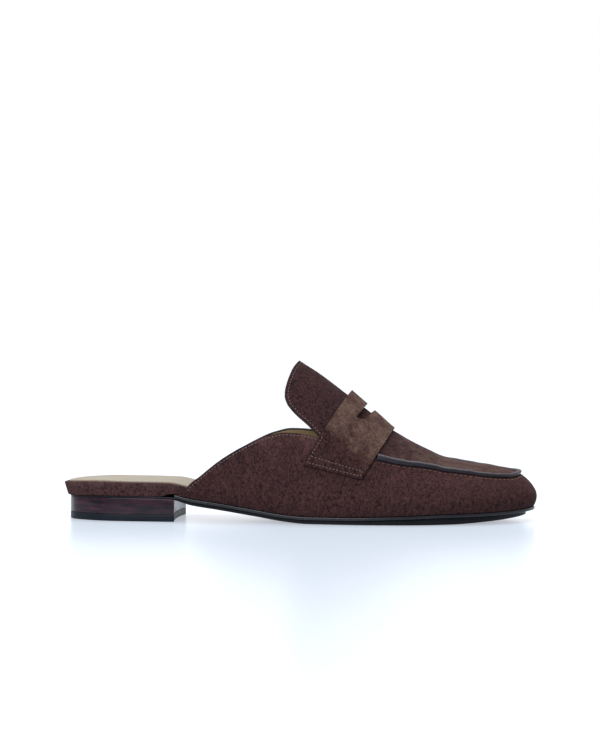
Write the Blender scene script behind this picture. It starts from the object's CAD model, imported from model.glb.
"""Looks of the loafer mule: suede vamp, apron and strap, piped seam, rand, sole and heel.

Every piece is a fine mesh on the same last as the frame's solids: an outline in plan, a bed
line and a crest line in side view, and a rounded section between them. Lengths are metres.
"""

import math

import bmesh
import bpy
import numpy as np
from mathutils import Matrix, Vector


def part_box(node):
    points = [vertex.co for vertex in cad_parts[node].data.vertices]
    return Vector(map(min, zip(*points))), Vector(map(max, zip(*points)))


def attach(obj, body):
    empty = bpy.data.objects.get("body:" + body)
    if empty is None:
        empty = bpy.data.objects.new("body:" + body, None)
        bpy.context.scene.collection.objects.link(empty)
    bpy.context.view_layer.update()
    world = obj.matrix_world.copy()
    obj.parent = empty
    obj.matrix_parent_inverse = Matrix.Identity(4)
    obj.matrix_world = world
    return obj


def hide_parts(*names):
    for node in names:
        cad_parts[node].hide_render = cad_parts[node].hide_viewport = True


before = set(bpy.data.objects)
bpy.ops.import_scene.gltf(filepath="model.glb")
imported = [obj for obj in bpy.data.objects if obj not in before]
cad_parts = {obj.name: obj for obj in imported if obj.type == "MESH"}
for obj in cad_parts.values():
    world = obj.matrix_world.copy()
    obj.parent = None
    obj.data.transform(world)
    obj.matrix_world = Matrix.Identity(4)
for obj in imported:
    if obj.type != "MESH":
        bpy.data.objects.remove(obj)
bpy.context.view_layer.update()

MM = 0.001

# Sizes of the shoe
SHOE_LENGTH = 256.0 * MM
BALL_WIDTH = 82.0 * MM
INSTEP_HEIGHT = 86.1 * MM
HEEL_SEAT_HEIGHT = 12.8 * MM
TOE_SPRING = 4.7 * MM
OUTSOLE_THICKNESS = 2.2 * MM
OUTSOLE_EDGE_SETBACK = 2.0 * MM
RAND_THICKNESS = 1.4 * MM
RAND_LEDGE = 0.4 * MM
TOP_LIFT_THICKNESS = 3.7 * MM
HEEL_LENGTH = 60.0 * MM
HEEL_SIDE_INSET = 2.2 * MM
HEEL_BACK_INSET = 3.5 * MM
HEEL_BREAST_HOLLOW = 1.6 * MM
FOOTBED_THICKNESS = 7.0 * MM
FOOTBED_LIP = 0.6 * MM
FOOTBED_RAMP = 6.0 * MM
INSOLE_THICKNESS = 0.9 * MM
INSOLE_MARGIN = 3.0 * MM
FLARE_AT_SIDE = 3.2 * MM
FLARE_AT_TOE = 2.6 * MM
FLARE_HEIGHT = 9.0 * MM
SEAM_GAP = 0.3 * MM
HEEL_FAN_START = 0.14
TOE_FAN_START = 0.70
FAN_DEPTH = 0.58
HEEL_BACK_RUN = 0.08
LIP_START = 0.86
LIP_RUN = 0.06
INSOLE_DISH = 0.25

# Where layers meet, and where vertices are merged
LAYER_JOINT = 0.05 * MM
LIFT_JOINT = 0.02 * MM
RAND_JOINT = 0.1 * MM
MERGE = 0.01 * MM
BEAD_MERGE = 0.005 * MM

# Roundings of edges
OUTSOLE_ROUNDING = 0.35 * MM
RAND_ROUNDING = 0.5 * MM
FOOTBED_LIP_ROUNDING = 0.9 * MM
FOOTBED_FOOT_ROUNDING = 2.6 * MM
INSOLE_ROUNDING = 0.4 * MM
STACK_ROUNDING = 0.3 * MM
LIFT_ROUNDING = 0.35 * MM
SUEDE_ROUNDING = 0.35 * MM
STRAP_ROUNDING = 0.4 * MM
LINING_ROUNDING = 0.15 * MM

# Leathers of the upper
SUEDE = 1.2 * MM
LINING = 0.5 * MM
UPPER_WALL = 1.8 * MM
STRAP_THICKNESS = 1.5 * MM
STRAP_LIFT = 1.8 * MM
STRAP_PRESS = 0.15 * MM
STRAP_CLEARANCE = 0.2 * MM
SLOT_HALF_WIDTH = 20.2 * MM
SLOT_LENGTH = 5.3 * MM
SLOT_PLACE = 0.362
SLOT_FULLNESS = 0.4
NEAR_SLOT = 20.0 * MM
STRAP_ROUNDS = 14
PIPING_RADIUS_AT_STRAP = 1.9 * MM
PIPING_RADIUS_AT_TOE = 1.15 * MM
PIPING_LIFT = 0.7 * MM
PIPING_TAPER_RUN = 66.0 * MM
PIPING_UNEVENNESS = 0.12 * MM
PIPING_WAVES = (2.1 * MM, 5.3 * MM)
SEAM_START_X = 44.0 * MM
APRON_SINK = 1.3 * MM
APRON_SINK_RUN = 34.0 * MM
EDGE_PAINT = 0.5 * MM
EDGE_PAINT_SINK = 0.35 * MM
PLUG_CLEARANCE = math.radians(0.6)
LINING_SETBACK = 1.0 * MM
LINING_JOINT_X = 33.0 * MM
LINING_JOINT_CURVE = 0.6
TONGUE_LINING_SETBACK = 0.7 * MM
TONGUE_LINING_FRONT_X = 40.0 * MM
TONGUE_LINING_CLEARANCE = math.radians(1.5)

# Flex troughs of the vamp: place along the shoe, lean, depth and width, lengths in millimetres
VAMP_TROUGHS = [
    (52.0, 0.35, 0.28, 5.0),
    (63.0, 0.45, 0.22, 4.0),
    (-18.0, -0.5, 0.25, 9.0),
    (10.0, -0.3, 0.20, 11.0),
]
TROUGH_HEIGHT = 20.0 * MM

# Sewing
TOP_LINE_STITCH = 1.3 * MM
TONGUE_STITCH = 1.6 * MM
PIPING_STITCH = 2.5 * MM
STITCH_PITCH = 1.9 * MM
SEAM_STITCH_PITCH = 2.8 * MM
THREAD = 0.42 * MM
THREAD_FLATNESS = 0.8
STITCH_COVER = 0.68
STITCH_SINK = 0.1 * MM
TOP_LINE_STITCH_START_X = -58.0 * MM
NOTCH_STITCH_CLEARANCE = 0.5 * MM

# Seam at each end of the strap: share from back to front edge, and share from crest to end
STRAP_SEAM = [(0.045, 0.775), (0.045, 0.979), (0.955, 0.979), (0.955, 0.934), (0.045, 0.934)]

# Stage
FLOOR_REACH = 6.0
FLOOR_DROP = 0.05 * MM

# Shares of a sheet's length on the straight ribs, before the ribs fan out round the toe
VAMP_STRAIGHT = 0.62
PLUG_STRAIGHT = 0.68
LINING_STRAIGHT = 0.66


def table(columns, rows):
    """A table as one array for each named column."""
    return dict(zip(columns.split(), np.array(rows, float).T))


# Feather edge in plan: distances from the shoe's axis as shares of the ball width
OUTLINE = table(
    "along  lateral medial",
    [
        (0.000, 0.000, 0.000),
        (0.015, 0.155, 0.155),
        (0.050, 0.250, 0.250),
        (0.100, 0.318, 0.318),
        (0.150, 0.345, 0.340),
        (0.200, 0.358, 0.348),
        (0.300, 0.378, 0.345),
        (0.400, 0.392, 0.345),
        (0.500, 0.430, 0.385),
        (0.600, 0.482, 0.452),
        (0.650, 0.495, 0.484),
        (0.700, 0.490, 0.502),
        (0.750, 0.475, 0.505),
        (0.800, 0.445, 0.495),
        (0.850, 0.398, 0.466),
        (0.900, 0.330, 0.412),
        (0.950, 0.226, 0.315),
        (0.985, 0.100, 0.196),
        (0.9975, -0.048, 0.048),
    ],
)

# Middle line of the last: how far it bends to the inner side
MIDDLE = table(
    "along  bend",
    [(0.00, 0.0), (0.30, 0.0), (0.60, 0.006), (0.80, 0.028), (0.90, 0.042), (1.00, 0.048)],
)

# Underside of the outsole, and the sole's thickness
TREAD = table(
    "along  heel   toe    thickness",
    [
        (0.000, 0.915, 0.000, 0.45),
        (0.050, 0.945, 0.000, 0.45),
        (0.100, 0.975, 0.000, 0.45),
        (0.160, 0.975, 0.000, 0.45),
        (0.235, 0.950, 0.000, 0.50),
        (0.285, 0.690, 0.000, 0.90),
        (0.336, 0.535, 0.000, 0.95),
        (0.422, 0.262, 0.000, 0.90),
        (0.480, 0.080, 0.000, 0.92),
        (0.530, 0.000, 0.000, 1.00),
        (0.600, 0.000, 0.000, 1.00),
        (0.720, 0.000, 0.000, 1.35),
        (0.824, 0.000, 0.050, 1.70),
        (0.902, 0.000, 0.290, 1.42),
        (0.949, 0.000, 0.540, 1.15),
        (1.000, 0.000, 0.930, 0.85),
    ],
)

FOOTBED = table(
    "along  thickness inset",
    [
        (0.00, 0.90, 0.0000),
        (0.02, 0.99, 0.0000),
        (0.05, 1.03, 0.0000),
        (0.09, 1.02, 0.0000),
        (0.16, 0.98, 0.0004),
        (0.24, 0.97, 0.0022),
        (0.30, 0.96, 0.0031),
        (0.45, 0.66, 0.0033),
        (0.60, 0.42, 0.0033),
        (1.00, 0.36, 0.0033),
    ],
)

# How much of the heel's inset the footbed's rim slants down to
RIM_SLANT = table("along  share", [(0.00, 0.6), (0.20, 0.6), (0.27, 0.2), (0.33, 0.0), (1.00, 0.0)])

OUTSOLE_SETBACK = table(
    "along  share",
    [
        (0.00, 1.75), (0.10, 1.10), (0.25, 1.30), (0.40, 1.20),
        (0.60, 0.80), (0.75, 0.80), (0.90, 1.30), (1.00, 2.20),
    ],
)

# Crest of the last in side view, share of the instep height, and roundness of the section
CREST = table(
    "along  height roundness",
    [
        (0.2600, 1.5210, 1.65),
        (0.5010, 1.0000, 1.65),
        (0.5440, 0.9180, 1.65),
        (0.5970, 0.8000, 1.65),
        (0.6410, 0.7010, 1.66),
        (0.6700, 0.6340, 1.70),
        (0.7000, 0.5650, 1.78),
        (0.7130, 0.5440, 1.80),
        (0.7340, 0.5110, 1.86),
        (0.7760, 0.4550, 2.05),
        (0.8160, 0.4045, 2.26),
        (0.8600, 0.3785, 2.24),
        (0.9200, 0.3650, 2.20),
        (1.0000, 0.3570, 2.20),
    ],
)

TOP_LINE = table(
    "along  height",
    [
        (0.2595, 0.1500), (0.2865, 0.2480), (0.3030, 0.2850), (0.3260, 0.3420),
        (0.3480, 0.3920), (0.3900, 0.4690), (0.4400, 0.5370), (0.4780, 0.5610),
        (0.5120, 0.5570), (0.5530, 0.5310),
    ],
)

TONGUE_EDGE = table(
    "along  height",
    [
        (0.5012, 1.0000), (0.4940, 0.9710), (0.4860, 0.9150), (0.4810, 0.8650),
        (0.4780, 0.8170), (0.4780, 0.7880), (0.4830, 0.7430), (0.4940, 0.7000),
        (0.5090, 0.6570), (0.5260, 0.6150), (0.5380, 0.5810), (0.5510, 0.5420),
    ],
)

# Strap in side view: lower end and lean of its back edge and front edge
STRAP = table(
    "edge  foot_along foot_height lean",
    [(0.0, 0.5200, 0.3640, 0.602), (1.0, 0.6420, 0.2780, 0.604)],
)

# Piped seam: share of each rib from the middle line to the outline
SEAM = table(
    "along  lateral medial",
    [
        (0.660, 0.715, 0.680),
        (0.720, 0.692, 0.640),
        (0.760, 0.674, 0.590),
        (0.800, 0.664, 0.560),
        (0.860, 0.680, 0.560),
        (0.920, 0.725, 0.600),
        (0.965, 0.745, 0.670),
        (0.988, 0.715, 0.685),
        (1.000, 0.680, 0.680),
    ],
)


def smooth_samples(xs, ys, count=1600):
    """Dense samples of the smooth monotone curve through points."""
    steps = np.diff(xs)
    slopes = np.diff(ys) / steps
    tangents = np.empty(len(xs))
    tangents[0] = slopes[0]
    tangents[-1] = slopes[-1]
    for k in range(1, len(xs) - 1):
        before, after = slopes[k - 1], slopes[k]
        if before * after <= 0.0:
            tangents[k] = 0.0
            continue
        w1 = 2.0 * steps[k] + steps[k - 1]
        w2 = steps[k] + 2.0 * steps[k - 1]
        tangents[k] = (w1 + w2) / (w1 / before + w2 / after)
    at = np.linspace(xs[0], xs[-1], count)
    k = np.clip(np.searchsorted(xs, at, side="right") - 1, 0, len(xs) - 2)
    h = steps[k]
    t = (at - xs[k]) / h
    values = (
        ys[k] * (1 + 2 * t) * (1 - t) ** 2
        + tangents[k] * h * t * (1 - t) ** 2
        + ys[k + 1] * t * t * (3 - 2 * t)
        + tangents[k + 1] * h * t * t * (t - 1)
    )
    return at, values


def column(data, name, key="along"):
    """A table's column as a smooth function of its key, for one value or many."""
    at, values = smooth_samples(data[key], data[name])
    return lambda along: np.interp(along, at, values)


def x_at(along):
    return (along - 0.5) * SHOE_LENGTH


def along_at(x):
    return x / SHOE_LENGTH + 0.5


heel_rise = column(TREAD, "heel")
toe_rise = column(TREAD, "toe")
sole_share = column(TREAD, "thickness")
crest_share = column(CREST, "height")
roundness_at = column(CREST, "roundness")
bend_at = column(MIDDLE, "bend")
bed_share = column(FOOTBED, "thickness")
bed_inset = column(FOOTBED, "inset")
rim_slant = column(RIM_SLANT, "share")
setback_at = column(OUTSOLE_SETBACK, "share")
seam_lateral = column(SEAM, "lateral")
seam_medial = column(SEAM, "medial")


# Side view: heights of the layers


def tread(x):
    a = along_at(x)
    return heel_rise(a) * HEEL_SEAT_HEIGHT + toe_rise(a) * TOE_SPRING


def outsole_top(x):
    return tread(x) + sole_share(along_at(x)) * OUTSOLE_THICKNESS


def rand_top(x):
    return outsole_top(x) + SEAM_GAP + RAND_THICKNESS


def feather(x):
    return rand_top(x) + SEAM_GAP


def crest(x):
    return crest_share(along_at(x)) * INSTEP_HEIGHT


def footbed_top(x):
    return outsole_top(x) + SEAM_GAP + FOOTBED_THICKNESS * bed_share(along_at(x))


# Plan: the outline as a closed smooth curve, its offsets, and ribs across it


def between(a, b, t, start, end):
    """Straight blend from a at start to b at end."""
    return a + (b - a) * (t - start) / (end - start)


def closed_curve(points, steps):
    """Points on a centripetal spline through a closed loop of points."""
    count = len(points)
    curve = []
    for k in range(count):
        p = [points[(k + j - 1) % count] for j in range(4)]
        knots = [0.0]
        for a, b in zip(p, p[1:]):
            knots.append(knots[-1] + math.sqrt(np.linalg.norm(b - a)))
        for t in np.linspace(knots[1], knots[2], steps, endpoint=False):
            near = [between(p[j], p[j + 1], t, knots[j], knots[j + 1]) for j in range(3)]
            wide = [between(near[j], near[j + 1], t, knots[j], knots[j + 2]) for j in range(2)]
            curve.append(between(wide[0], wide[1], t, knots[1], knots[2]))
    return np.array(curve)


def feather_outline(steps=40):
    """Lateral and medial side of the outline, each from the heel's end to the toe's."""
    alongs = OUTLINE["along"]
    lateral = [np.array((x_at(a), -w * BALL_WIDTH)) for a, w in zip(alongs, OUTLINE["lateral"])]
    medial = [np.array((x_at(a), w * BALL_WIDTH)) for a, w in zip(alongs, OUTLINE["medial"])]
    loop = closed_curve(lateral + medial[-2:0:-1], steps)
    turn = (len(alongs) - 1) * steps
    return loop[: turn + 1], np.vstack([loop[turn:], loop[:1]])[::-1]


SIDES = feather_outline()


def lengths_along(path):
    """Distance along a path up to each of its points."""
    return np.concatenate([[0.0], np.cumsum(np.linalg.norm(np.diff(path, axis=0), axis=1))])


# Stations: the heel's end, the starts of the heel's and the toe's fan of ribs, the toe's end
HEEL_END, HEEL_FAN, TOE_FAN, TOE_END = 0.0, 1.0, 2.0, 3.0
# Normals at the toe's end are taken just before it, where the ribs still differ
BEFORE_TOE = 2.995


class Ribs:
    """Ribs across an outline moved inwards by inset(along), counted by stations."""

    def __init__(self, inset):
        curves = []
        for curve, turn in zip(SIDES, (1.0, -1.0)):
            ahead = np.gradient(curve, axis=0)
            ahead /= np.linalg.norm(ahead, axis=1)[:, None]
            inward = np.stack([-ahead[:, 1] * turn, ahead[:, 0] * turn], axis=1)
            inward[0] = (1.0, 0.0)
            inward[-1] = (-1.0, 0.0)
            curves.append(curve + inward * inset(along_at(curve[:, 0]))[:, None])
        self.heel_x = x_at(HEEL_FAN_START)
        self.toe_x = x_at(TOE_FAN_START)
        self.stations = np.linspace(HEEL_END, TOE_END, 1801)
        self.lateral = self.ends(curves[0])
        self.medial = self.ends(curves[1])
        self.middle = self.middles(curves[0])

    def ends(self, curve):
        """Where each rib meets one side."""
        s = self.stations
        straight = self.heel_x + (s - HEEL_FAN) * (self.toe_x - self.heel_x)
        found = np.stack([straight, np.interp(straight, curve[:, 0], curve[:, 1])], axis=1)
        for towards_toe, start in ((False, self.heel_x), (True, self.toe_x)):
            inside = curve[:, 0] > start if towards_toe else curve[:, 0] < start
            first = np.array((start, np.interp(start, curve[:, 0], curve[:, 1])))
            part = curve[inside] if towards_toe else curve[inside][::-1]
            part = np.vstack([first, part])
            lengths = lengths_along(part)
            rows = s > TOE_FAN if towards_toe else s < HEEL_FAN
            at = (s[rows] - TOE_FAN if towards_toe else HEEL_FAN - s[rows]) * lengths[-1]
            found[rows, 0] = np.interp(at, lengths, part[:, 0])
            found[rows, 1] = np.interp(at, lengths, part[:, 1])
        return found

    def middles(self, curve):
        """Inner end of each rib, on the middle line."""
        s = self.stations
        x = self.heel_x + (s - HEEL_FAN) * (self.toe_x - self.heel_x)
        for rows, share, start, tip in (
            (s < HEEL_FAN, HEEL_FAN - s, self.heel_x, curve[0, 0]),
            (s > TOE_FAN, s - TOE_FAN, self.toe_x, curve[-1, 0]),
        ):
            eased = share - (1.0 - FAN_DEPTH) * share * share
            x[rows] = (start + (tip - start) * eased)[rows]
        return np.stack([x, bend_at(along_at(x)) * BALL_WIDTH], axis=1)

    def pick(self, points, station):
        return np.stack([np.interp(station, self.stations, points[:, k]) for k in (0, 1)], axis=-1)

    def at(self, station, share):
        """Point in plan: share -1 on the lateral side, 0 on the middle line, 1 on the medial side."""
        middle = self.pick(self.middle, station)
        lateral = self.pick(self.lateral, station)
        medial = self.pick(self.medial, station)
        end = np.where(share[..., None] < 0.0, lateral, medial)
        return middle + (end - middle) * np.abs(share)[..., None]

    def station_at(self, x):
        return HEEL_FAN + (x - self.heel_x) / (self.toe_x - self.heel_x)


def no_inset(along):
    return np.zeros_like(along)


LAST = Ribs(no_inset)

# The frame stands centred over its origin: the same move for everything made here
rand_outline = Ribs(lambda along: np.full_like(along, -RAND_LEDGE))
rand_low, rand_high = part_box("rand")
CENTRE = np.array(
    (
        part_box("footbed")[0][0] - SIDES[0][0, 0],
        0.5 * (rand_low[1] + rand_high[1])
        - 0.5 * (rand_outline.lateral[:, 1].min() + rand_outline.medial[:, 1].max()),
        0.0,
    )
)


# The form of the last above the feather edge


def form_bare(station, angle):
    """Points of the outer surface: angle 0 on the crest, -90 and 90 degrees on the feather edge."""
    middle = LAST.pick(LAST.middle, station)
    lateral = LAST.pick(LAST.lateral, station)
    medial = LAST.pick(LAST.medial, station)
    foot = np.where(angle[..., None] < 0.0, lateral, medial)
    roundness = roundness_at(along_at(middle[..., 0]))
    across = np.sin(np.abs(angle)) ** (2.0 / roundness)
    rise = np.maximum(np.cos(angle), 0.0) ** (2.0 / roundness)
    toe_share = np.clip((along_at(foot[..., 0]) - TOE_FAN_START) / (1.0 - TOE_FAN_START), 0.0, 1.0)
    flare = FLARE_AT_SIDE + (FLARE_AT_TOE - FLARE_AT_SIDE) * toe_share
    reach = foot - middle
    out = reach / np.linalg.norm(reach, axis=-1)[..., None]
    base = feather(foot[..., 0])
    plan = middle + (reach + out * flare[..., None]) * across[..., None]
    height = (crest(plan[..., 0]) - base) * rise
    low = np.clip(1.0 - height / FLARE_HEIGHT, 0.0, 1.0)
    plan = plan - out * (flare * low**2 * across)[..., None]
    return np.concatenate([plan, (base + height)[..., None]], axis=-1)


def form_normal(station, angle, step=0.004):
    """Directions straight out of the last's surface."""
    ahead = form_bare(np.minimum(station + step, TOE_END), angle) - form_bare(station - step, angle)
    across = form_bare(station, angle + step) - form_bare(station, angle - step)
    normal = np.cross(ahead, across)
    return normal / np.linalg.norm(normal, axis=-1)[..., None]


def form(station, angle, out=0.0):
    """Points of the last's surface, moved outwards."""
    station, angle = np.broadcast_arrays(np.asarray(station, float), np.asarray(angle, float))
    out = np.broadcast_to(np.asarray(out, float), station.shape)
    return form_bare(station, angle) + form_normal(station, angle) * out[..., None]


def angle_of(x, height):
    """Angle at which the section at x reaches a height."""
    base = feather(x)
    share = np.clip((height - base) / (crest(x) - base), 0.0, 1.0)
    return np.arccos(share ** (roundness_at(along_at(x)) / 2.0))


def side_view_line(data, steps=200):
    """x and z on a smooth line through a table, in order along its rows."""
    rows = np.arange(len(data["along"]), dtype=float)
    alongs = smooth_samples(rows, data["along"], steps)[1]
    heights = smooth_samples(rows, data["height"], steps)[1]
    return x_at(alongs), heights * INSTEP_HEIGHT


def edge_by_angle(x, z):
    """Rear edge of a piece: x for each angle."""
    angles = angle_of(x, z)
    order = np.argsort(angles)
    return lambda angle: np.interp(np.abs(angle), angles[order], x[order])


top_line = side_view_line(TOP_LINE)
tongue_line = side_view_line(TONGUE_EDGE)
NOTCH_X = top_line[0][-1]
NOTCH_ANGLE = float(angle_of(top_line[0][-1:], top_line[1][-1:])[0])
vamp_back = edge_by_angle(*top_line)
tongue_back = edge_by_angle(*tongue_line)


def seam_angle(station, side):
    """Angle of the piped seam; behind its table it runs on to the notch beside the tongue."""
    foot = LAST.pick(LAST.lateral if side < 0 else LAST.medial, station)
    middle = LAST.pick(LAST.middle, station)
    share = (seam_lateral if side < 0 else seam_medial)(along_at(foot[..., 0]))
    roundness = roundness_at(along_at(middle[..., 0]))
    seam = np.arcsin(share ** (roundness / 2.0))
    start = x_at(SEAM["along"][0])
    blend = np.clip((middle[..., 0] - NOTCH_X) / (start - NOTCH_X), 0.0, 1.0)
    return NOTCH_ANGLE + (seam - NOTCH_ANGLE) * blend


# Meshes


def hex_colour(code):
    """Linear colour from an sRGB hex code."""
    parts = [int(code[k : k + 2], 16) / 255.0 for k in (0, 2, 4)]
    linear = [p / 12.92 if p <= 0.04045 else ((p + 0.055) / 1.055) ** 2.4 for p in parts]
    return (*linear, 1.0)


def unit_grid(along, across):
    """A bmesh grid whose vertices remember their place in the unit square."""
    edit = bmesh.new()
    bmesh.ops.create_grid(edit, x_segments=along, y_segments=across, size=0.5)
    u = edit.verts.layers.float.new("u")
    v = edit.verts.layers.float.new("v")
    for vert in edit.verts:
        vert[u] = vert.co.x + 0.5
        vert[v] = vert.co.y + 0.5
    return edit


def remembered(edit, verts):
    """The places in the unit square of some vertices."""
    u = edit.verts.layers.float["u"]
    v = edit.verts.layers.float["v"]
    return np.array([(vert[u], vert[v]) for vert in verts]).T


def grid_square(along, across):
    """A unit grid and the two coordinates of its vertices."""
    edit = unit_grid(along, across)
    u, v = remembered(edit, edit.verts)
    return edit, u, v


def set_places(verts, points):
    """Put vertices at points of the last, moved to where the frame stands."""
    for vert, point in zip(verts, points + CENTRE):
        vert.co = point


def face_out(edit):
    """Open sheet over the last: faces turned away from the foot."""
    bmesh.ops.remove_doubles(edit, verts=edit.verts, dist=MERGE)
    bmesh.ops.recalc_face_normals(edit, faces=edit.faces)
    top = max(edit.faces, key=lambda f: f.calc_center_median().z)
    if top.normal.z < 0.0:
        bmesh.ops.reverse_faces(edit, faces=edit.faces)


def new_object(name, data):
    """Object of the scene at the origin."""
    made = bpy.data.objects.new(name, data)
    bpy.context.scene.collection.objects.link(made)
    return made


def finish_piece(edit, name, material, nodes=(), smooth_angle=40.0):
    """Turn a bmesh into a piece of the shoe that rides on its one body."""
    for layer in list(edit.verts.layers.float):
        edit.verts.layers.float.remove(layer)
    mesh = bpy.data.meshes.new(name)
    edit.to_mesh(mesh)
    edit.free()
    mesh.materials.append(material)
    mesh.shade_smooth()
    mesh.set_sharp_from_angle(angle=math.radians(smooth_angle))
    piece = new_object(name, mesh)
    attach(piece, "root")
    if nodes:
        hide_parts(*nodes)


def rim_edges(edit, turn=50.0):
    """Edges where the surface turns sharply."""
    limit = math.radians(turn)
    return [e for e in edit.edges if len(e.link_faces) == 2 and e.calc_face_angle() > limit]


def round_off(edit, edges, offset, segments):
    """Round some edges."""
    bmesh.ops.bevel(
        edit,
        geom=edges,
        affect="EDGES",
        offset=offset,
        segments=segments,
        profile=0.5,
        material=-1,
        clamp_overlap=True,
    )


def thicken(edit, thickness, rounding, segments=3):
    """Give an open sheet its thickness inwards and round its cut edges."""
    bmesh.ops.solidify(edit, geom=edit.faces[:], thickness=thickness)
    bmesh.ops.recalc_face_normals(edit, faces=edit.faces)
    round_off(edit, rim_edges(edit), rounding, segments)


def slab(along, across, first, last, top_ribs, bottom_ribs, top, bottom, hollow=None):
    """Closed layer of the sole: a grid across the ribs, folded at the ends, and extruded."""
    edit = unit_grid(along, across)

    def place(verts, ribs, height):
        u, v = remembered(edit, verts)
        station = first + (last - first) * u
        share = 2.0 * v - 1.0
        plan = ribs.at(station, share)
        if hollow is not None:
            plan[:, 0] -= hollow(station) * (1.0 - share**2)
        z = height(plan[:, 0], np.abs(share))
        set_places(verts, np.concatenate([plan, z[:, None]], axis=1))

    place(edit.verts[:], top_ribs, top)
    bmesh.ops.remove_doubles(edit, verts=edit.verts, dist=MERGE)
    made = bmesh.ops.extrude_face_region(edit, geom=edit.faces[:])
    lifted = {g for g in made["geom"] if isinstance(g, bmesh.types.BMVert)}
    place([v for v in edit.verts if v not in lifted], bottom_ribs, bottom)
    bmesh.ops.recalc_face_normals(edit, faces=edit.faces)
    return edit


def bevel_rims(edit, offset, segments, above=None, below=None):
    """Round the rims, or only those above or below a height function of x."""
    chosen = []
    for edge in rim_edges(edit, turn=40.0):
        middle = (edge.verts[0].co + edge.verts[1].co) / 2.0
        x = middle.x - CENTRE[0]
        if above is not None and middle.z < above(x):
            continue
        if below is not None and middle.z > below(x):
            continue
        chosen.append(edge)
    round_off(edit, chosen, offset, segments)


# Materials


def add_node(tree, kind, inputs=None, output=0, **settings):
    """Add a node with its settings, set or link its inputs, and give one of its outputs."""
    node = tree.nodes.new("ShaderNode" + kind)
    for name, value in settings.items():
        setattr(node, name, value)
    for name, value in (inputs or {}).items():
        if isinstance(value, bpy.types.NodeSocket):
            tree.links.new(value, node.inputs[name])
        else:
            node.inputs[name].default_value = value
    return node if output is None else node.outputs[output]


def new_material(name):
    """Material with a shader alone, and object coordinates."""
    made = bpy.data.materials.new(name)
    made.use_nodes = True
    tree = made.node_tree
    tree.nodes.clear()
    surface = add_node(tree, "BsdfPrincipled")
    add_node(tree, "OutputMaterial", {"Surface": surface}, None)
    return made, tree, surface.node.inputs, add_node(tree, "TexCoord", output="Object")


def per_mm(size):
    """Scale of a noise whose features have a size in millimetres."""
    return 1.0 / (size * MM)


def suede(name, dark, light, worn, direction, start, end):
    """Calf suede: upright nap that scatters light, dark in its depth and warm at its tips.

    The grain is drawn a little coarser than real nap, about 1 mm, so that it shows from afar.
    Along a direction, from start to end in metres, brushing has turned it to the worn colour.
    """
    made, tree, shader, place = new_material(name)
    upright = add_node(tree, "Mapping", {"Vector": place, "Scale": (1.0, 1.0, 0.65)})
    grain = {"Vector": upright, "Detail": 3.0, "Roughness": 0.65}
    # Tufts, flecks and patches add up to how deep the eye looks into the nap
    tuft = add_node(tree, "TexNoise", {**grain, "Scale": per_mm(0.9)})
    fleck = add_node(tree, "TexNoise", {**grain, "Scale": per_mm(1.9)})
    patch = add_node(tree, "TexNoise", {**grain, "Scale": per_mm(7.0)})
    coarse = add_node(tree, "Math", {0: fleck, 1: 0.7, 2: 0.0}, operation="MULTIPLY_ADD")
    coarse = add_node(tree, "Math", {0: patch, 1: 0.25, 2: coarse}, operation="MULTIPLY_ADD")
    depth = add_node(tree, "Math", {0: tuft, 1: 1.5, 2: coarse}, operation="MULTIPLY_ADD")
    tone = add_node(tree, "MapRange", {"Value": depth, "From Min": 0.93, "From Max": 1.52})
    ends = {6: hex_colour(dark), 7: hex_colour(light)}
    nap = add_node(tree, "Mix", {"Factor": tone, **ends}, 2, data_type="RGBA")
    ends = {6: hex_colour(light), 7: hex_colour(worn)}
    brushed = add_node(tree, "Mix", {"Factor": tone, **ends}, 2, data_type="RGBA")
    along = {0: place, 1: direction}
    along = add_node(tree, "VectorMath", along, "Value", operation="DOT_PRODUCT")
    waver = {0: patch, 1: 1.4 * (end - start), 2: along}
    waver = add_node(tree, "Math", waver, operation="MULTIPLY_ADD")
    middle = 0.7 * (end - start)
    rise = {"Value": waver, "From Min": start + middle, "From Max": end + middle}
    rise = add_node(tree, "MapRange", rise, interpolation_type="SMOOTHSTEP")
    mottle = {"Value": patch, "From Min": 0.36, "From Max": 0.64, "To Min": 0.35}
    mottle = add_node(tree, "MapRange", mottle)
    share = add_node(tree, "Math", {0: rise, 1: mottle}, operation="MULTIPLY")
    colour = {"Factor": share, 6: nap, 7: brushed}
    colour = add_node(tree, "Mix", colour, 2, data_type="RGBA")
    fuzz = add_node(tree, "Bump", {"Strength": 0.5, "Distance": 0.3 * MM, "Height": tuft})
    tree.links.new(colour, shader["Base Color"])
    tree.links.new(fuzz, shader["Normal"])
    shader["Roughness"].default_value = 0.95
    shader["Specular IOR Level"].default_value = 0.05
    shader["Sheen Weight"].default_value = 0.10
    shader["Sheen Roughness"].default_value = 0.4
    shader["Sheen Tint"].default_value = hex_colour("b08c80")
    return made


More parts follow.
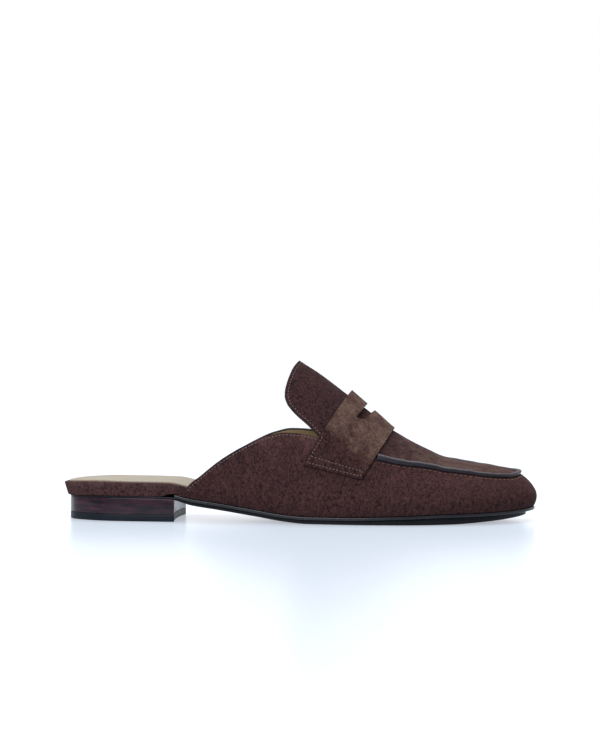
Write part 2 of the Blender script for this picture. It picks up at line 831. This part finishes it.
def plain_finish(
    name, dark, light, roughness, pore_mm, cloud_mm=14.0, relief=0.12, specular=0.3, coat=0.0
):
    """Leather, rubber or thread with an even colour, faint clouds, fine pores and a soft shine."""
    made, tree, shader, place = new_material(name)
    pores = add_node(tree, "TexVoronoi", {"Vector": place, "Scale": per_mm(pore_mm)})
    cloud = {"Vector": place, "Scale": per_mm(cloud_mm), "Detail": 4.0, "Roughness": 0.55}
    cloud = add_node(tree, "TexNoise", cloud)
    fine = {"Vector": place, "Scale": per_mm(1.4), "Detail": 3.0, "Roughness": 0.55}
    fine = add_node(tree, "TexNoise", fine)
    both = add_node(tree, "Math", {0: fine, 1: 0.4, 2: cloud}, operation="MULTIPLY_ADD")
    tone = add_node(tree, "MapRange", {"Value": both, "From Min": 0.45, "From Max": 0.95})
    colour = {"Factor": tone, 6: hex_colour(dark), 7: hex_colour(light)}
    colour = add_node(tree, "Mix", colour, 2, data_type="RGBA")
    shine = {"Value": cloud, "From Min": 0.3, "From Max": 0.7}
    shine.update({"To Min": roughness - 0.05, "To Max": roughness + 0.07})
    shine = add_node(tree, "MapRange", shine)
    bump = add_node(tree, "Bump", {"Strength": relief, "Distance": 0.1 * MM, "Height": pores})
    tree.links.new(colour, shader["Base Color"])
    tree.links.new(shine, shader["Roughness"])
    tree.links.new(bump, shader["Normal"])
    shader["Specular IOR Level"].default_value = specular
    shader["Coat Weight"].default_value = coat
    shader["Coat Roughness"].default_value = 0.15
    return made


def stacked_leather(name):
    """Heel lifts of sole leather, stained and burnished: thin layer lines under a deep polish."""
    made, tree, shader, place = new_material(name)
    height = add_node(tree, "SeparateXYZ", {0: place}, "Z")
    wave = {"Vector": place, "Scale": per_mm(18.0), "Detail": 2.0}
    wave = add_node(tree, "TexNoise", wave)
    level = add_node(tree, "Math", {0: wave, 1: 0.5 * MM, 2: height}, operation="MULTIPLY_ADD")
    layer = add_node(tree, "Math", {0: level, 1: 2.7 * MM}, operation="MODULO")
    line = {"Value": layer, "From Min": 0.0, "From Max": 0.45 * MM}
    line = add_node(tree, "MapRange", line, interpolation_type="SMOOTHSTEP")
    grain = add_node(tree, "Mapping", {"Vector": place, "Scale": (0.3, 0.3, 1.6)})
    stain = {"Vector": grain, "Scale": per_mm(3.5), "Detail": 5.0, "Roughness": 0.6}
    stain = add_node(tree, "TexNoise", stain)
    patch = add_node(tree, "MapRange", {"Value": stain, "From Min": 0.38, "From Max": 0.66})
    body = {"Factor": patch, 6: hex_colour("110d16"), 7: hex_colour("381b28")}
    body = add_node(tree, "Mix", body, 2, data_type="RGBA")
    colour = {"Factor": line, 6: hex_colour("0c090e"), 7: body}
    colour = add_node(tree, "Mix", colour, 2, data_type="RGBA")
    bump = add_node(tree, "Bump", {"Strength": 0.2, "Distance": 0.12 * MM, "Height": line})
    tree.links.new(colour, shader["Base Color"])
    tree.links.new(bump, shader["Normal"])
    shader["Roughness"].default_value = 0.3
    shader["Specular IOR Level"].default_value = 0.18
    shader["Coat Weight"].default_value = 0.15
    shader["Coat Roughness"].default_value = 0.08
    return made


UP = (0.0, 0.0, 1.0)
TO_TOE = (1.0, 0.0, 0.0)
UP_AND_TO_TOE = (0.61, 0.0, 0.79)

# Vamp: dark, slightly purple brown with warm flecks, a little lighter towards the top line
VAMP_SUEDE = suede("calf_suede_vamp", "1a1016", "452e2c", "543c3a", UP, 30 * MM, 75 * MM)
# Tongue and apron in one: as dark as the vamp, the apron's toe half brushed to a taupe
PLUG_SUEDE = suede("calf_suede_plug", "160e11", "3d292a", "4b3f39", TO_TOE, 46 * MM, 76 * MM)
# Strap: its top rubbed to a mottled taupe, its sewn ends as dark as the vamp
STRAP_SUEDE = suede("calf_suede_strap", "170e11", "3f2a27", "5c4c43", UP_AND_TO_TOE, 46 * MM, 58 * MM)
# Wrapped rim of the footbed: warm brown, evenly worn
RIM_SUEDE = suede("calf_suede_rim", "1f1418", "4c3535", "594541", UP, 17 * MM, 24 * MM)
# Piping: smooth, nearly black with a purple cast and a soft highlight along its top
PIPING_LEATHER = plain_finish("waxed_calf_piping", "17131a", "251f28", 0.38, 0.9)
# Edge paint: thin blue-black line round tongue and top line
EDGE_PAINT_LEATHER = plain_finish("painted_leather_edge", "0a0b11", "13141c", 0.5, 0.7, specular=0.2)
# Rand: blue-black band round the vamp's foot with a narrow shine
RAND_LEATHER = plain_finish("burnished_leather_rand", "101117", "1b1c24", 0.33, 1.0, coat=0.1)
# Outsole: stained black edge under the rand
OUTSOLE_LEATHER = plain_finish("stained_sole_leather", "07090e", "0e1017", 0.45, 1.2, specular=0.2)
# Top lift: matt blue-black rubber
LIFT_RUBBER = plain_finish(
    "moulded_rubber_lift", "0c1219", "151d26", 0.45, 0.8, relief=0.08, specular=0.15
)
# Insole: pale greyish beige, faintly clouded
INSOLE_LEATHER = plain_finish("sheepskin_insole", "797062", "8b8376", 0.6, 1.1, 40.0)
# Lining: olive gold inside the vamp
LINING_LEATHER = plain_finish("pigskin_lining", "76664a", "907f5c", 0.65, 1.0, 20.0)
# Sewing of edges and strap: dull rose-grey thread that stands out from the suede
PALE_THREAD = plain_finish("pale_waxed_thread", "5f5354", "716465", 0.55, 0.3)
# Sewing under the piping: tan thread, hardly lighter than the vamp
BROWN_THREAD = plain_finish("brown_waxed_thread", "5a4034", "755849", 0.55, 0.3)
# Heel: polished stack, nearly black with wine-red stains
HEEL_STACK = stacked_leather("stacked_heel_leather")


# Sole


def make_outsole():
    """Leather sole from the heel seat to the toe, set back under the rand."""
    ribs = Ribs(lambda along: OUTSOLE_EDGE_SETBACK * setback_at(along))
    edit = slab(
        260, 24, HEEL_END, TOE_END, ribs, ribs, lambda x, s: outsole_top(x), lambda x, s: tread(x)
    )
    bevel_rims(edit, OUTSOLE_ROUNDING, 3)
    finish_piece(edit, "sole_outer", OUTSOLE_LEATHER, ["outsole"])


def make_rand():
    """Thin band of leather under the vamp, from the heel's breast round the toe."""
    start = LAST.station_at(x_at(TOP_LINE["along"][0]) - 2.0 * RAND_THICKNESS)
    edit = slab(
        260,
        14,
        start,
        TOE_END,
        rand_outline,
        rand_outline,
        lambda x, s: rand_top(x),
        lambda x, s: outsole_top(x) + LAYER_JOINT,
    )
    bevel_rims(edit, RAND_ROUNDING, 4)
    finish_piece(edit, "sole_rand", RAND_LEATHER, ["rand"])


def ease(share):
    """Smooth step from 0 to 1."""
    share = np.clip(share, 0.0, 1.0)
    return share * share * (3.0 - 2.0 * share)


def heel_inset(along):
    """How far the heel stands in, more at its back than at its sides."""
    back = np.clip(1.0 - along / HEEL_BACK_RUN, 0.0, 1.0)
    return HEEL_SIDE_INSET + (HEEL_BACK_INSET - HEEL_SIDE_INSET) * back * (2.0 - back)


def footbed_bottom(x):
    """Underside of the footbed: on the outsole at the heel, on the rand in front of it."""
    start = x_at(TOP_LINE["along"][0]) - 3.0 * RAND_THICKNESS
    on_rand = np.clip((x - start) / FOOTBED_RAMP + 1.0, 0.0, 1.0)
    low = outsole_top(x) + LAYER_JOINT
    return low + (rand_top(x) + RAND_JOINT - low) * on_rand


def make_footbed():
    """Board and cushion wrapped in suede: a soft lip over a slanted, rounded rim."""

    def top(x, s):
        lip = FOOTBED_LIP * rim_slant(along_at(x))
        return footbed_top(x) + lip * ease((s - LIP_START) / LIP_RUN)

    edit = slab(
        260,
        60,
        HEEL_END,
        TOE_END,
        Ribs(bed_inset),
        Ribs(lambda along: bed_inset(along) + heel_inset(along) * rim_slant(along)),
        top,
        lambda x, s: footbed_bottom(x),
    )

    def middle(x):
        return 0.5 * (footbed_bottom(x) + footbed_top(x))

    bevel_rims(edit, FOOTBED_LIP_ROUNDING, 4, above=middle)
    bevel_rims(edit, FOOTBED_FOOT_ROUNDING, 6, below=middle)
    finish_piece(edit, "footbed_wrap", RIM_SUEDE, ["footbed"])


def make_insole():
    """Lining sock on the footbed, slightly dished, its edge turned under."""
    ribs = Ribs(lambda along: bed_inset(along) + INSOLE_MARGIN)

    def base(x):
        return footbed_top(x) + LAYER_JOINT

    edit = slab(
        220,
        30,
        HEEL_END,
        TOE_END,
        ribs,
        ribs,
        lambda x, s: base(x) + INSOLE_THICKNESS * (1.0 - INSOLE_DISH + INSOLE_DISH * s**2),
        lambda x, s: base(x),
    )
    bevel_rims(edit, INSOLE_ROUNDING, 3, above=lambda x: base(x) + 0.4 * INSOLE_THICKNESS)
    finish_piece(edit, "insole_sock", INSOLE_LEATHER, ["insole"])


def make_heel():
    """Stack and top lift on the same ribs, their breast hollowed in the middle."""
    ribs = Ribs(heel_inset)
    breast = ribs.station_at(x_at(0.0) + HEEL_BACK_INSET + HEEL_LENGTH)
    split = TOP_LIFT_THICKNESS + 0.5 * SEAM_GAP

    def hollow(station):
        return HEEL_BREAST_HOLLOW * np.clip((station - HEEL_FAN) / (breast - HEEL_FAN), 0.0, 1.0) ** 2

    def level(height):
        return lambda x, s: np.full_like(x, height)

    def layer(top, bottom, rounding):
        edit = slab(120, 30, HEEL_END, breast, ribs, ribs, top, bottom, hollow)
        bevel_rims(edit, rounding, 3)
        return edit

    block = layer(lambda x, s: tread(x) - LAYER_JOINT, level(split + LIFT_JOINT), STACK_ROUNDING)
    lift = layer(level(split - LIFT_JOINT), level(0.0), LIFT_ROUNDING)
    finish_piece(block, "heel_stack", HEEL_STACK, ["heel_block"])
    finish_piece(lift, "heel_top_lift", LIFT_RUBBER, ["top_lift"])


# Upper


def station_from(back, along, straight):
    """Station at a share of the way from a rear edge to the toe, and on round the fan of ribs."""
    x = back + (LAST.toe_x - back) * np.clip(along / straight, 0.0, 1.0)
    fan = TOE_FAN + np.clip((along - straight) / (1.0 - straight), 0.0, 1.0)
    return np.where(along <= straight, LAST.station_at(x), fan)


def seam_limit(station, side):
    """Angle of the piped seam on each vertex's own side."""
    return np.where(side < 0.0, seam_angle(station, -1.0), seam_angle(station, 1.0))


def vamp_place(u, w, out=0.0):
    """Point of the vamp: u round the shoe from the outer back edge over the toe, w upwards."""
    side = np.where(u < 0.5, -1.0, 1.0)
    along = 1.0 - np.abs(2.0 * u - 1.0)
    back = vamp_back(0.5 * math.pi - w * (0.5 * math.pi - NOTCH_ANGLE))
    station = station_from(back, along, VAMP_STRAIGHT)
    angle = side * (0.5 * math.pi - w * (0.5 * math.pi - seam_limit(station, side)))
    return form(station, angle, out)


def vamp_relief(w, points):
    """Soft unevenness of the worn-in suede: troughs where the ball flexes and below the top line."""
    x, z = points[..., 0], points[..., 2]
    relief = np.zeros_like(x)
    for centre, lean, depth, width in VAMP_TROUGHS:
        line = centre * MM + lean * (z - TROUGH_HEIGHT)
        relief -= depth * MM * np.exp(-(((x - line) / (width * MM)) ** 2)) * np.sin(math.pi * w) ** 2
    return relief


def make_vamp():
    """Vamp: one cut of suede from the outer back corner round the toe to the inner one."""
    edit, u, w = grid_square(420, 64)
    relief = vamp_relief(w, vamp_place(u, w))
    set_places(edit.verts, vamp_place(u, w, relief))
    face_out(edit)
    thicken(edit, SUEDE, SUEDE_ROUNDING)
    finish_piece(edit, "vamp", VAMP_SUEDE, ["upper"])


def plug_place(u, v, out=0.0):
    """Point of tongue and apron in one: v across from seam to seam, u from tongue tip to toe."""
    side = 2.0 * v - 1.0
    back = tongue_back(side * (NOTCH_ANGLE - PLUG_CLEARANCE))
    station = station_from(back, u, PLUG_STRAIGHT)
    return form(station, side * (seam_limit(station, side) - PLUG_CLEARANCE), out)


def apron_sink(x, share):
    """How far the apron sinks between its piped seams: share -1 to 1 from seam to seam."""
    return APRON_SINK * ease((x - SEAM_START_X) / APRON_SINK_RUN) * (1.0 - share**2)


def make_plug():
    """Tongue and apron: one cut of suede from the tongue's tip to the toe seam."""
    edit, u, v = grid_square(240, 90)
    set_places(edit.verts, plug_place(u, v, -apron_sink(plug_place(u, v)[:, 0], 2.0 * v - 1.0)))
    face_out(edit)
    thicken(edit, SUEDE, SUEDE_ROUNDING)
    finish_piece(edit, "tongue_and_apron", PLUG_SUEDE, ["tongue"])


def tongue_rim():
    """Stations and angles of the tongue's free edge, round its tip from notch to notch."""
    x, z = tongue_line
    angles = np.minimum(angle_of(x, z), NOTCH_ANGLE - PLUG_CLEARANCE)
    stations = LAST.station_at(np.concatenate([x[::-1], x[1:]]))
    return stations, np.concatenate([-angles[::-1], angles[1:]])


def make_edge_paint():
    """Dark paint over the cut edges of the tongue and of the vamp's top line."""
    rim_bead("tongue_edge", *tongue_rim(), -1.0, "tongue_suede")
    x, z = top_line
    for side, name in ((-1.0, "outer"), (1.0, "inner")):
        angle = side * angle_of(x, z)
        rim_bead(f"top_line_edge_{name}", LAST.station_at(x), angle, side, "vamp_suede")


def rim_bead(name, station, angle, side, slot):
    """Flat bead in the rim of a sheet, as thick as the suede and its lining."""
    normals = form_normal(station, angle)
    path = form(station, angle, -0.5 * UPPER_WALL)
    path = inset_path(path, normals, side * EDGE_PAINT_SINK)
    flat = 0.5 * UPPER_WALL / EDGE_PAINT
    tube(name, path, normals, EDGE_PAINT, 0.0, EDGE_PAINT_LEATHER, around=12, flat=flat)


def make_lining():
    """Lining inside vamp and apron, down to the footbed."""
    edit, u, v = grid_square(200, 90)
    angle = (2.0 * v - 1.0) * 0.5 * math.pi
    lift = np.clip(1.0 - np.abs(angle) / NOTCH_ANGLE, 0.0, 1.0)
    under_tongue = NOTCH_X + (LINING_JOINT_X - NOTCH_X) * lift**LINING_JOINT_CURVE
    back = np.where(np.abs(angle) < NOTCH_ANGLE, under_tongue, vamp_back(angle) + LINING_SETBACK)
    station = station_from(back, u, LINING_STRAIGHT)
    share = np.clip(angle / seam_limit(station, angle), -1.0, 1.0)
    sunk = apron_sink(form(station, angle)[:, 0], share)
    set_places(edit.verts, form(station, angle, -(SUEDE + LAYER_JOINT + sunk)))
    face_out(edit)
    thicken(edit, LINING, LINING_ROUNDING, 2)
    finish_piece(edit, "vamp_lining", LINING_LEATHER)


def make_tongue_lining():
    """Lining behind the tongue, set in a little from its edge."""
    edit, u, v = grid_square(90, 70)
    angle = (2.0 * v - 1.0) * (NOTCH_ANGLE - TONGUE_LINING_CLEARANCE)
    back = tongue_back(angle) + TONGUE_LINING_SETBACK
    x = back + (TONGUE_LINING_FRONT_X - back) * u
    set_places(edit.verts, form(LAST.station_at(x), angle, -(SUEDE + LAYER_JOINT)))
    face_out(edit)
    thicken(edit, LINING, LINING_ROUNDING, 2)
    finish_piece(edit, "tongue_lining", LINING_LEATHER)


# Strap


def strap_x(share, height):
    """x of a line across the strap at a height in side view: share 0 at the back, 1 in front."""
    foot_x = x_at(np.interp(share, STRAP["edge"], STRAP["foot_along"]))
    foot_z = np.interp(share, STRAP["edge"], STRAP["foot_height"]) * INSTEP_HEIGHT
    lean = np.interp(share, STRAP["edge"], STRAP["lean"])
    return foot_x + (height - foot_z) * lean


def strap_place(share, side, out=0.0):
    """Point of the strap: share from back to front edge, side -1 to 1 from end to end."""
    foot_z = np.interp(share, STRAP["edge"], STRAP["foot_height"]) * INSTEP_HEIGHT
    angle = angle_of(strap_x(share, foot_z), foot_z) * side
    x = strap_x(share, np.full_like(share, 0.5 * INSTEP_HEIGHT))
    for _ in range(STRAP_ROUNDS):
        x = strap_x(share, form_bare(LAST.station_at(x), angle)[..., 2])
    lift = (STRAP_LIFT - (STRAP_LIFT + STRAP_PRESS) * share) * (1.0 - side**2)
    return form(LAST.station_at(x), angle, STRAP_CLEARANCE + STRAP_THICKNESS + lift + out)


def slot_outline(steps=48):
    """Half moon of the slot: across the foot and forwards, its straight side to the heel."""
    turn = np.linspace(-0.5 * math.pi, 0.5 * math.pi, steps)
    ahead = SLOT_LENGTH * np.cos(turn) ** SLOT_FULLNESS
    curved = np.stack([ahead, SLOT_HALF_WIDTH * np.sin(turn)], axis=1)
    across = np.linspace(SLOT_HALF_WIDTH, -SLOT_HALF_WIDTH, steps)[1:-1]
    straight = np.stack([np.zeros_like(across), across], axis=1)
    return np.vstack([curved, straight])


def in_slot(points, outline):
    """Whether points in the slot's plane lie inside its outline."""
    inside = np.zeros(len(points), bool)
    for (ax, ay), (bx, by) in zip(outline, np.roll(outline, -1, axis=0)):
        crosses = (ay > points[:, 1]) != (by > points[:, 1])
        rise = by - ay if by != ay else 1e-12
        reach = ax + (points[:, 1] - ay) * (bx - ax) / rise
        inside ^= crosses & (points[:, 0] < reach)
    return inside


def cut_slot(edit):
    """Open the half moon in the strap's sheet and draw the cut edge onto its outline."""
    middle = strap_place(np.array([SLOT_PLACE]), np.array([0.0]))[0] + CENTRE
    ahead = strap_place(np.array([SLOT_PLACE + 0.01]), np.array([0.0]))[0] + CENTRE - middle
    ahead /= np.linalg.norm(ahead)
    outline = slot_outline()
    onward = np.roll(outline, -1, axis=0)
    fine = np.vstack([outline + (onward - outline) * t for t in (0.0, 0.25, 0.5, 0.75)])

    def flat(co):
        away = np.array(co) - middle
        return np.array((away @ ahead, away[1]))

    faces = [f for f in edit.faces if f.calc_center_median().z > middle[2] - NEAR_SLOT]
    centres = np.array([flat(f.calc_center_median()) for f in faces])
    cut = [f for f, inside in zip(faces, in_slot(centres, outline)) if inside]
    rim = {v for f in cut for v in f.verts if any(g not in cut for g in v.link_faces)}
    bmesh.ops.delete(edit, geom=cut, context="FACES")
    moved = []
    for vert in rim:
        here = flat(vert.co)
        nearest = fine[np.argmin(np.linalg.norm(fine - here, axis=1))]
        step = nearest - here
        vert.co += Vector(ahead * step[0]) + Vector((0.0, step[1], 0.0))
        moved.append(vert)
    around = {e.other_vert(v) for v in moved for e in v.link_edges} - set(moved)
    bmesh.ops.smooth_vert(
        edit, verts=list(around), factor=0.5, use_axis_x=True, use_axis_y=True, use_axis_z=True
    )


def make_strap():
    """Strap over the instep: one thick band of suede with a half-moon slot."""
    edit, u, v = grid_square(56, 260)
    set_places(edit.verts, strap_place(u, 2.0 * v - 1.0))
    face_out(edit)
    cut_slot(edit)
    thicken(edit, STRAP_THICKNESS, STRAP_ROUNDING)
    finish_piece(edit, "saddle_band", STRAP_SUEDE, ["saddle_strap"])


# Piping and sewing


def sideways(path, normals):
    """Directions across a path, along the surface that it lies on."""
    ahead = np.gradient(path, axis=0)
    ahead /= np.linalg.norm(ahead, axis=1)[:, None]
    side = np.cross(normals, ahead)
    return side / np.linalg.norm(side, axis=1)[:, None]


def tube(name, path, normals, radius, lift, material, nodes=(), around=16, flat=1.0):
    """Round bead along a path on the surface: a grid rolled up round it, drawn in at its ends."""
    edit, u, v = grid_square(len(path) - 1, around)
    rows = np.rint(u * (len(path) - 1)).astype(int)
    side = sideways(path, normals)
    turn = 2.0 * math.pi * v
    radius = np.broadcast_to(radius, len(path)).copy()
    radius[[0, -1]] *= 0.1
    lift = np.broadcast_to(lift, len(path))
    points = (
        path[rows]
        + normals[rows] * (lift[rows] + flat * radius[rows] * np.sin(turn))[:, None]
        + side[rows] * (radius[rows] * np.cos(turn))[:, None]
    )
    set_places(edit.verts, points)
    bmesh.ops.remove_doubles(edit, verts=edit.verts, dist=BEAD_MERGE)
    bmesh.ops.holes_fill(edit, edges=[e for e in edit.edges if e.is_boundary], sides=0)
    bmesh.ops.recalc_face_normals(edit, faces=edit.faces)
    finish_piece(edit, name, material, nodes, smooth_angle=60.0)


def seam_path(first_x):
    """Stations and angles along the seam from one side of the strap round the toe to the other."""
    start = LAST.station_at(first_x)
    sides = np.linspace(start, TOE_FAN, 70)[:-1]
    stations = np.concatenate([sides, np.linspace(TOE_FAN, TOE_END, 190)])
    lateral = -seam_angle(stations, -1.0)
    medial = seam_angle(stations, 1.0)[::-1][1:]
    return np.concatenate([stations, stations[::-1][1:]]), np.concatenate([lateral, medial])


def make_piping():
    """Piping sewn into the seam, thinner at the toe, its height a little uneven."""
    station, angle = seam_path(SEAM_START_X)
    path = form(station, angle)
    forward = np.clip((path[:, 0] - SEAM_START_X) / PIPING_TAPER_RUN, 0.0, 1.0)
    radius = PIPING_RADIUS_AT_STRAP + (PIPING_RADIUS_AT_TOE - PIPING_RADIUS_AT_STRAP) * forward
    along = lengths_along(path)
    short_wave, long_wave = PIPING_WAVES
    uneven = PIPING_UNEVENNESS * np.sin(along / short_wave) * np.sin(along / long_wave + 1.0)
    tube(
        "apron_piping",
        path,
        form_normal(np.minimum(station, BEFORE_TOE), angle),
        radius,
        PIPING_LIFT + uneven,
        PIPING_LEATHER,
        ["moc_piping"],
        around=18,
    )


def stitch_row(name, path, normals, thread, pitch=STITCH_PITCH):
    """Row of lockstitches: short rounded threads laid along a path, their ends dipping in."""
    lengths = lengths_along(path)
    count = max(int(lengths[-1] / pitch), 1)
    half = 0.5 * STITCH_COVER * pitch
    edit = bmesh.new()
    for k in range(count):
        centre = (k + 0.5) * lengths[-1] / count
        ends = (centre - half, centre + half)
        a, b = [np.array([np.interp(e, lengths, row) for row in path.T]) for e in ends]
        normal = np.array([np.interp(centre, lengths, row) for row in normals.T])
        forward = Vector(b - a)
        up = Vector(normal).normalized()
        side = up.cross(forward).normalized()
        up = forward.cross(side).normalized()
        made = bmesh.ops.create_uvsphere(edit, u_segments=8, v_segments=6, radius=0.5)
        turn = Matrix((side * THREAD, up * THREAD * THREAD_FLATNESS, forward)).transposed().to_4x4()
        turn.translation = Vector((a + b) / 2.0 - normal * STITCH_SINK + CENTRE)
        bmesh.ops.transform(edit, matrix=turn, verts=made["verts"])
    finish_piece(edit, name, thread, smooth_angle=80.0)


def inset_path(path, normals, distance):
    """Path on the surface moved sideways by a distance."""
    return path + sideways(path, normals) * distance


def sew(name, station, angle, inset, slot, thread=PALE_THREAD, pitch=STITCH_PITCH):
    """Row of stitches beside a line on the last."""
    normals = form_normal(np.minimum(station, BEFORE_TOE), angle)
    path = inset_path(form(station, angle), normals, inset)
    stitch_row(name, path, normals, thread, pitch)


def make_stitches():
    """Sewing along the top line, round the tongue's free edge and under the piping."""
    x, z = top_line
    keep = (x > TOP_LINE_STITCH_START_X) & (x < NOTCH_X - NOTCH_STITCH_CLEARANCE)
    station = LAST.station_at(x[keep])
    for side, name in ((-1.0, "outer"), (1.0, "inner")):
        angle = side * angle_of(x[keep], z[keep])
        sew(f"top_line_stitches_{name}", station, angle, side * TOP_LINE_STITCH, "vamp_suede")
    sew("tongue_edge_stitches", *tongue_rim(), -TONGUE_STITCH, "tongue_suede")
    seam = seam_path(SEAM_START_X + PIPING_STITCH)
    sew("apron_seam_stitches", *seam, -PIPING_STITCH, "vamp_suede", BROWN_THREAD, SEAM_STITCH_PITCH)


def make_strap_stitches():
    """One seam at each end of the strap: down its back edge, and twice across its end."""
    legs = list(zip(STRAP_SEAM, STRAP_SEAM[1:]))
    share = np.concatenate([np.linspace(a[0], b[0], 40) for a, b in legs])
    across = np.concatenate([np.linspace(a[1], b[1], 40) for a, b in legs])
    for side, name in ((-1.0, "outer"), (1.0, "inner")):
        path = strap_place(share, side * across)
        away = strap_place(share, side * across, 1.0 * MM) - path
        normals = away / np.linalg.norm(away, axis=1)[:, None]
        stitch_row(f"strap_stitches_{name}", path, normals, PALE_THREAD)


# Stage, light and camera


def make_stage():
    """Pale glossy floor a hair below the soles: it mirrors the shoe in a light blue."""
    floor = bmesh.new()
    bmesh.ops.create_grid(floor, x_segments=1, y_segments=1, size=FLOOR_REACH)
    bmesh.ops.translate(floor, verts=floor.verts, vec=(0.0, 0.0, -FLOOR_DROP))
    mesh = bpy.data.meshes.new("floor")
    floor.to_mesh(mesh)
    floor.free()
    made, _, shader, _ = new_material("white_acrylic_floor")
    shader["Base Color"].default_value = hex_colour("8795a1")
    shader["Roughness"].default_value = 0.24
    shader["Emission Color"].default_value = hex_colour("f2f5ff")
    shader["Emission Strength"].default_value = 0.45
    mesh.materials.append(made)
    plane = new_object("floor", mesh)


def make_light(name, place, target, size, power):
    """Rectangular lamp aimed at a point."""
    data = bpy.data.lights.new(name, "AREA")
    data.shape = "RECTANGLE"
    data.size, data.size_y = size
    data.energy = power
    light = new_object(name, data)
    light.location = place
    aim = Vector(target) - Vector(place)
    light.rotation_euler = aim.to_track_quat("-Z", "Y").to_euler()


def make_lights():
    """White surroundings whose glow comes from above and behind, and two lamps."""
    world = bpy.data.worlds.new("studio")
    world.use_nodes = True
    tree = world.node_tree
    tree.nodes.clear()
    direction = add_node(tree, "TexCoord", output="Generated")
    facing = {0: direction, 1: (0.0, 0.5, 0.87)}
    facing = add_node(tree, "VectorMath", facing, "Value", operation="DOT_PRODUCT")
    glow = {"Value": facing, "From Min": -0.3, "From Max": 0.55, "To Min": 0.10}
    glow = add_node(tree, "MapRange", glow)
    seen = add_node(tree, "LightPath", output="Is Camera Ray")
    strength = add_node(tree, "Math", {0: glow, 1: seen}, operation="MAXIMUM")
    white = {"Strength": strength, "Color": (1.0, 1.0, 1.0, 1.0)}
    white = add_node(tree, "Background", white)
    add_node(tree, "OutputWorld", {"Surface": white}, None)
    bpy.context.scene.world = world
    shoe = (0.0, 0.0, 0.03)
    make_light("overhead", (0.1, 0.3, 1.2), shoe, (1.4, 0.7), 14.0)
    make_light("front", (-0.5, -1.3, 0.9), shoe, (0.9, 0.9), 22.0)


def make_camera():
    """Camera 1.5 m from the shoe, a little towards the toe, just above it, long lens."""
    distance, turn, height = 1.5, math.radians(4.5), 118.8 * MM
    pitch, roll = math.radians(1.366), math.radians(0.15)
    data = bpy.data.cameras.new("camera")
    data.lens = 136.1
    data.sensor_width = 36.0
    camera = new_object("camera", data)
    camera.location = (distance * math.sin(turn), -distance * math.cos(turn), height)
    ahead = Vector((-math.sin(turn), math.cos(turn), -math.tan(pitch)))
    rotation = ahead.to_track_quat("-Z", "Y").to_matrix() @ Matrix.Rotation(roll, 3, "Z")
    camera.rotation_euler = rotation.to_euler()
    bpy.context.scene.camera = camera
    bpy.context.scene.view_settings.view_transform = "Standard"


make_camera()
make_stage()
make_lights()
make_outsole()
make_rand()
make_heel()
make_footbed()
make_insole()
make_vamp()
make_plug()
make_edge_paint()
make_lining()
make_tongue_lining()
make_strap()
make_piping()
make_stitches()
make_strap_stitches()
